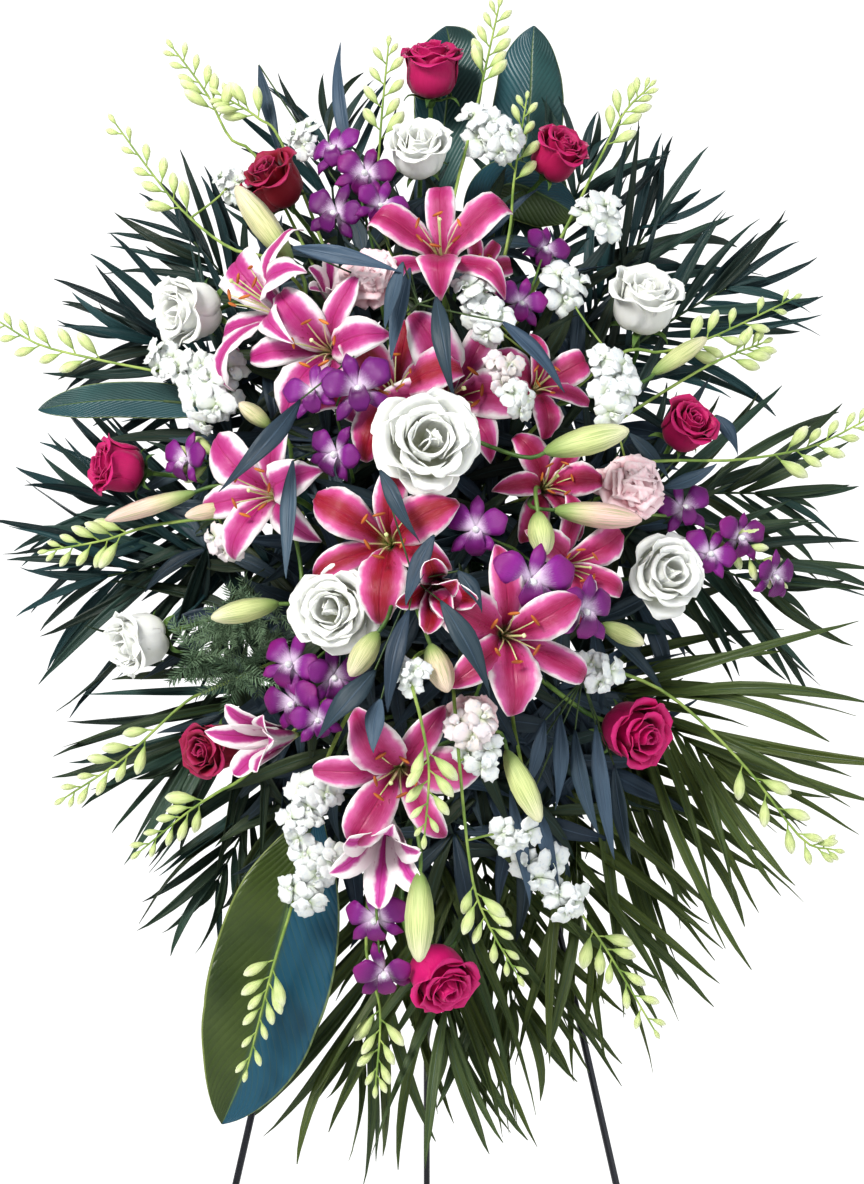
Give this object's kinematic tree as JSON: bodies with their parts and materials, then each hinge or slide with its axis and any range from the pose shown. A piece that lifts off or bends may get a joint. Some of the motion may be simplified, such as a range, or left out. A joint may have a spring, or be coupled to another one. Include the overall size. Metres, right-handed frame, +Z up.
{
  "type": "standing funeral spray",
  "caption": "Oval spray of roses, lilies, orchids and palm fronds in a foam holder on a folding three-legged wire easel.",
  "frame": {"origin": "on the floor, at the middle of the whole part's outline seen from above", "axes": "+Z up, -Y towards the viewer whom the flowers face, +X to that viewer's right"},
  "size_m": [0.8862, 0.771, 1.7042],
  "materials": {
    "steel": "black semi-gloss paint on wire",
    "plastic": "matt green moulded plastic",
    "foam": "wet green floral foam, fine open cells",
    "red_rose": "velvety petals, crimson to magenta",
    "white_rose": "satin petals, cool white",
    "lily": "waxy petals, crimson to pink with white edges",
    "white_orchid": "white florets and lime buds",
    "purple_orchid": "waxy violet petals with white centres",
    "carnation": "soft ruffled blush petals",
    "grey_leaf": "matt blue-grey narrow leaves",
    "broad_leaf": "leathery dark leaves with a satin sheen",
    "palm": "dark green leaflets with a faint sheen",
    "fern": "matt grey-green feathery fern"
  },
  "bodies": {
    "root": {"easel_leg_left": "steel", "easel_leg_right": "steel", "easel_crossbar_upper": "steel", "easel_crossbar_lower": "steel", "easel_hinge_bar": "steel", "holder_tray": "plastic", "holder_strap": "plastic", "holder_foam": "foam", "rose_red_top": "red_rose", "rose_red_upper_left": "red_rose", "rose_red_upper_right": "red_rose", "rose_red_left": "red_rose", "rose_red_right": "red_rose", "rose_red_lower_right": "red_rose", "rose_pink_bottom": "red_rose", "rose_red_lower_left": "red_rose", "rose_white_upper_left": "white_rose", "rose_white_upper_right": "white_rose", "rose_white_top": "white_rose", "rose_white_open": "white_rose", "rose_white_centre_left": "white_rose", "rose_white_right": "white_rose", "rose_white_lower_left": "white_rose", "lily_stem_top": "lily", "lily_stem_upper_left": "lily", "lily_stem_centre": "lily", "lily_stem_left": "lily", "lily_stem_front": "lily", "lily_stem_right": "lily", "lily_stem_low": "lily", "orchid_white_top": "white_orchid", "orchid_white_upper_left": "white_orchid", "orchid_white_left": "white_orchid", "orchid_white_lower_left": "white_orchid", "orchid_white_centre": "white_orchid", "orchid_white_lower_right": "white_orchid", "orchid_white_right": "white_orchid", "orchid_purple_top": "purple_orchid", "orchid_purple_left": "purple_orchid", "orchid_purple_right": "purple_orchid", "orchid_purple_low": "purple_orchid", "carnation_upper": "carnation", "carnation_right": "carnation", "willow_stem_upper": "grey_leaf", "willow_stem_centre": "grey_leaf", "willow_stem_right": "grey_leaf", "leaf_top_left": "broad_leaf", "leaf_top_right": "broad_leaf", "leaf_top_folded": "broad_leaf", "leaf_left_strap": "broad_leaf", "leaf_lower_left": "broad_leaf", "palm_upper_right": "palm", "palm_right": "palm", "palm_lower_right": "palm", "palm_bottom": "palm", "palm_lower_left": "palm", "palm_left": "palm", "palm_upper_left": "palm", "fern_tuft": "fern"},
    "back_leg": {"easel_leg_back": "steel"}
  },
  "joints": [
    {"name": "back_leg_fold", "type": "hinge", "parent": "root", "child": "back_leg", "pos_m": [-0.00423, 0.04226, 1.31311], "axis": [1, 0, 0], "range_deg": [-20.5, 0]}
  ]
}
